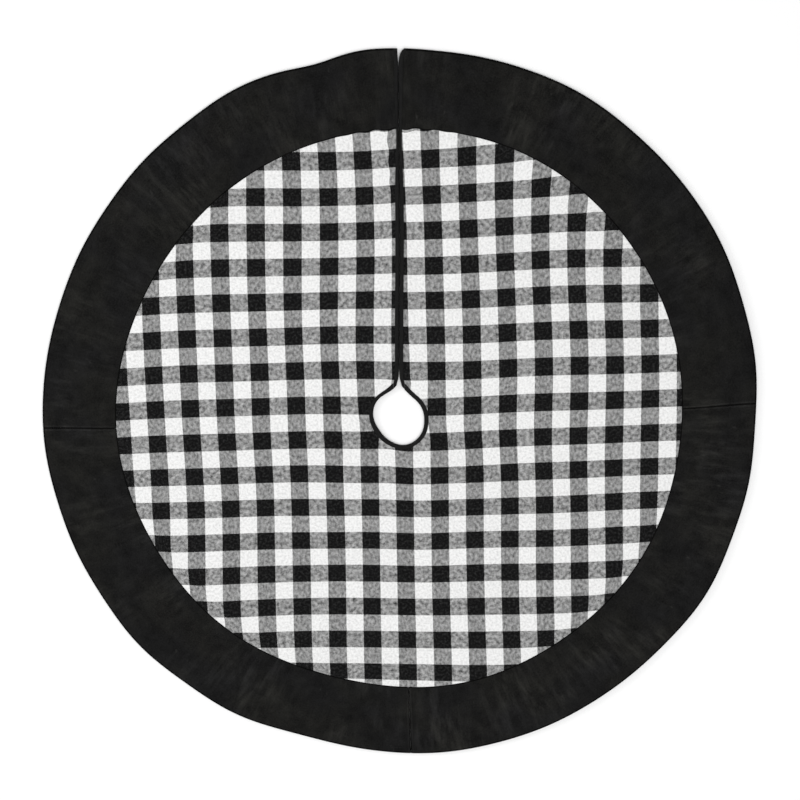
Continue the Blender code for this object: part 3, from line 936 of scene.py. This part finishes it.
def box_line(low, high, inset, height):
    """A closed line of places inside a rectangle."""
    corners = [(low.x + inset, low.y + inset), (high.x - inset, low.y + inset)]
    corners += [(high.x - inset, high.y - inset), (low.x + inset, high.y - inset)]
    line = []
    steps = np.linspace(0, 1, 12, endpoint=False)
    for (x0, y0), (x1, y1) in zip(corners, corners[1:] + corners[:1]):
        line += [(x0 + (x1 - x0) * t, y0 + (y1 - y0) * t, height) for t in steps]
    return np.array(line + line[:1])


def pile_tree(name, middle, end, material):
    """A node tree that sets a small bent thread, hanging down, on every point of a mesh.

    middle and end are the places that the thread bends round and ends at, in heights.
    """
    tree = bpy.data.node_groups.new(name, "GeometryNodeTree")
    tree.interface.new_socket("Points", in_out="INPUT", socket_type="NodeSocketGeometry")
    for socket_name in ("Height", "Thread Width", "Scatter", "Turn"):
        tree.interface.new_socket(socket_name, in_out="INPUT", socket_type="NodeSocketFloat")
    tree.interface.new_socket("Seed", in_out="INPUT", socket_type="NodeSocketInt")
    tree.interface.new_socket("Pile", in_out="OUTPUT", socket_type="NodeSocketGeometry")
    given = node(tree, "NodeGroupInput").outputs
    opposite = calc(tree, "MULTIPLY", given["Scatter"], -1.0)
    low = node(tree, "ShaderNodeCombineXYZ", {"X": opposite, "Y": opposite})
    high = node(tree, "ShaderNodeCombineXYZ", {"X": given["Scatter"], "Y": given["Scatter"]})
    strayed = node(tree, "FunctionNodeRandomValue",
                   {0: low.outputs[0], 1: high.outputs[0], "Seed": given["Seed"]}, data_type="FLOAT_VECTOR")
    points = node(tree, "GeometryNodeSetPosition",
                  {"Geometry": given["Points"], "Offset": strayed.outputs[0]})
    back = calc(tree, "MULTIPLY", given["Turn"], -1.0)
    turned = node(tree, "FunctionNodeRandomValue",
                  {2: back, 3: given["Turn"], "Seed": given["Seed"]}, data_type="FLOAT")
    rotation = node(tree, "ShaderNodeCombineXYZ", {"Z": turned.outputs[1]})
    bend = node(tree, "GeometryNodeCurveQuadraticBezier",
                {"Resolution": 6, "Start": (0.0, 0.0, 0.0), "Middle": middle, "End": end})
    tall = given["Height"]
    scale = node(tree, "ShaderNodeCombineXYZ", {"X": tall, "Y": tall, "Z": tall})
    sized = node(tree, "GeometryNodeTransform", {"Geometry": bend.outputs[0], "Scale": scale.outputs[0]})
    half_width = calc(tree, "MULTIPLY", given["Thread Width"], 0.5)
    section = node(tree, "GeometryNodeCurvePrimitiveCircle", {"Resolution": 4, "Radius": half_width})
    strand = node(tree, "GeometryNodeCurveToMesh", {
        "Curve": sized.outputs[0],
        "Profile Curve": section.outputs[0],
        "Fill Caps": True,
    })
    set_in = node(tree, "GeometryNodeInstanceOnPoints", {
        "Points": points.outputs[0],
        "Instance": strand.outputs[0],
        "Rotation": rotation.outputs[0],
    })
    realized = node(tree, "GeometryNodeRealizeInstances", {0: set_in.outputs[0]})
    coloured = node(tree, "GeometryNodeSetMaterial", {"Geometry": realized.outputs[0], "Material": material})
    result = node(tree, "NodeGroupOutput")
    tree.links.new(coloured.outputs[0], result.inputs[0])
    return tree


def pile(name, low, high, height, spacing, group, values):
    """Fill a rectangle with bent threads that hang down from a tape."""
    across = np.arange(low[0], high[0], spacing)
    along = np.arange(low[1], high[1], spacing)
    points = lie([(x, y, height) for x in across for y in along])
    mesh = bpy.data.meshes.new(name + "_points")
    mesh.from_pydata([tuple(p) for p in points], [], [])
    made = made_by_nodes(name, mesh, group, values)
    made.data.shade_smooth()
    return made


ROOT_DEPTH = 0.00005
HOOK_SPACING = 0.00115
HOOK = {"Height": 0.00062, "Thread Width": 0.00017, "Scatter": 0.00004, "Turn": 0.25}
hooks = pile_tree("hooks", (0.05, 0.0, -1.65), (0.62, 0.0, -0.42), hook_plastic)
for number in CLOSURES:
    low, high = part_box(f"hook_tab_{number}")
    plate = tape_plate(f"tape_tab_{number}", (low, high), TAB_CORNER, hook_tape)
    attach(plate, f"tab_{number}")
    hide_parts(f"hook_tab_{number}")
    inset = 0.0016
    root = high.z - TAPE + ROOT_DEPTH
    field = pile(f"tape_hooks_{number}", (low.x + inset, low.y + inset), (high.x - SEWN_END, high.y - inset),
                 root, HOOK_SPACING, hooks, {**HOOK, "Seed": number})
    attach(field, f"tab_{number}")
    sewn_low = Vector((high.x - SEWN_END, low.y, 0.0))
    row = stitch_row(f"tab_stitches_{number}", box_line(sewn_low, high, 0.0014, high.z - TAPE))
    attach(row, f"tab_{number}")

# ----------------------------------------------------------
# The loop patches: three squares of soft black loop tape under the right side of the slit, sewn
# to the backing all round. They are there for the tabs' hooks to catch in.
# ----------------------------------------------------------
PATCH_CORNER = 0.002
loop_tape = tape_material("loop_tape", (0.014, 0.014, 0.014), (0.045, 0.045, 0.045), 0.0006, 0.8)
loop_yarn, tree, shader = plain_material("loop_yarn", (0.020, 0.020, 0.020), 0.75)
fuzz = noise(tree, node(tree, "ShaderNodeTexCoord").outputs["Object"], 600.0)
dye_between(tree, shader, fuzz, (0.010, 0.010, 0.010), (0.045, 0.045, 0.045))
shader.inputs["Sheen Weight"].default_value = 0.2

LOOP_SPACING = 0.00085
LOOP = {"Height": 0.00060, "Thread Width": 0.00011, "Scatter": 0.0003, "Turn": 3.1}
loops = pile_tree("loops", (0.45, 0.0, -1.9), (0.9, 0.0, 0.0), loop_yarn)
for number in CLOSURES:
    low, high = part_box(f"loop_patch_{number}")
    plate = tape_plate(f"tape_patch_{number}", (low, high), PATCH_CORNER, loop_tape)
    sides_ride(plate, "right_side")
    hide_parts(f"loop_patch_{number}")
    inset = 0.0026
    root = high.z - TAPE + ROOT_DEPTH
    field = pile(f"tape_loops_{number}", (low.x + inset, low.y + inset), (high.x - inset, high.y - inset),
                 root, LOOP_SPACING, loops, {**LOOP, "Seed": 10 + number})
    sides_ride(field, "right_side")
    row = stitch_row(f"patch_stitches_{number}", box_line(low, high, 0.0013, high.z - TAPE))
    sides_ride(row, "right_side")

low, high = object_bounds()
